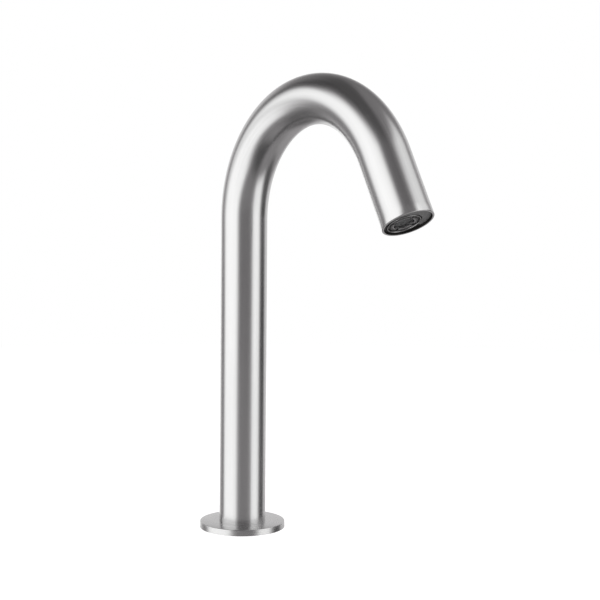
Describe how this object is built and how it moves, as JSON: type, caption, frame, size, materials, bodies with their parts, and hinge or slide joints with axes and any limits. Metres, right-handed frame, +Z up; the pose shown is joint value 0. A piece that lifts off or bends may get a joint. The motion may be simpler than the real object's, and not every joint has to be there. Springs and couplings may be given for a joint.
{
  "type": "sensor tap",
  "caption": "Deck-mounted touch-free tap: a bent round steel spout on a disc base, with a sensor window beside the aerator in its outlet.",
  "frame": {"origin": "axis of the tube at the worktop: the centre of the base flange's underside", "axes": "+Z up along the column, -Y towards the outlet, +X to the right seen from behind the tap"},
  "size_m": [0.0516, 0.1813, 0.3245],
  "materials": {
    "brushed_stainless": "satin brushed stainless steel",
    "brass": "turned brass with a dull natural skin",
    "zinc_steel": "zinc-plated steel",
    "black_rubber": "matt black rubber",
    "pipe_plastic": "milky white plastic pipe",
    "cable_jacket": "black cable jacket",
    "nozzle_plastic": "black moulded plastic",
    "window_plastic": "dark polished infrared window",
    "circuit_board": "green lacquered circuit board",
    "eye_resin": "dark tinted resin",
    "chromed_ring": "chromed plastic",
    "screen_steel": "fine stainless screen",
    "cartridge_plastic": "pale grey moulded plastic"
  },
  "bodies": {
    "root": {"spout_tube": "brushed_stainless", "base_flange": "brushed_stainless", "base_gasket": "black_rubber", "threaded_shank": "brass", "inlet_plug": "brass", "cable_grommet": "black_rubber", "water_pipe": "pipe_plastic", "pipe_seals": "black_rubber", "sensor_cable": "cable_jacket", "nozzle_body": "nozzle_plastic", "nozzle_ring": "black_rubber", "retaining_screw": "brushed_stainless", "sensor_window": "window_plastic", "sensor_housing": "nozzle_plastic", "sensor_board": "circuit_board", "infrared_emitter": "eye_resin", "infrared_receiver": "eye_resin"},
    "clamp": {"rubber_washer": "black_rubber", "steel_washer": "zinc_steel"},
    "nut": {"fixing_nut": "brass"},
    "aerator_carrier": {"aerator_gasket": "black_rubber"},
    "aerator": {"aerator_housing": "chromed_ring", "aerator_screen": "screen_steel", "jet_disc": "cartridge_plastic", "flow_regulator": "black_rubber", "inlet_strainer": "cartridge_plastic"}
  },
  "joints": [
    {"name": "clamp_slide", "type": "slide", "parent": "root", "child": "clamp", "axis": [0, 0, 1], "range_m": [-0.02005, 0.01805]},
    {"name": "nut_turn", "type": "hinge", "parent": "clamp", "child": "nut", "pos_m": [0, 0, -0.0295], "axis": [0, 0, 1], "range_deg": [-4800, 4320]},
    {"name": "aerator_slide", "type": "slide", "parent": "root", "child": "aerator_carrier", "axis": [0, -0.4695, -0.8829], "range_m": [-0.00005, 0.01105]},
    {"name": "aerator_turn", "type": "hinge", "parent": "aerator_carrier", "child": "aerator", "pos_m": [0, -0.14073, 0.18286], "axis": [0, -0.4695, -0.8829], "range_deg": [0, 3960]}
  ],
  "couplings": [
    {"joint": "clamp_slide", "follows": "nut_turn", "m_per_rad": 0.00023873},
    {"joint": "aerator_slide", "follows": "aerator_turn", "m_per_rad": 0.00015915}
  ]
}
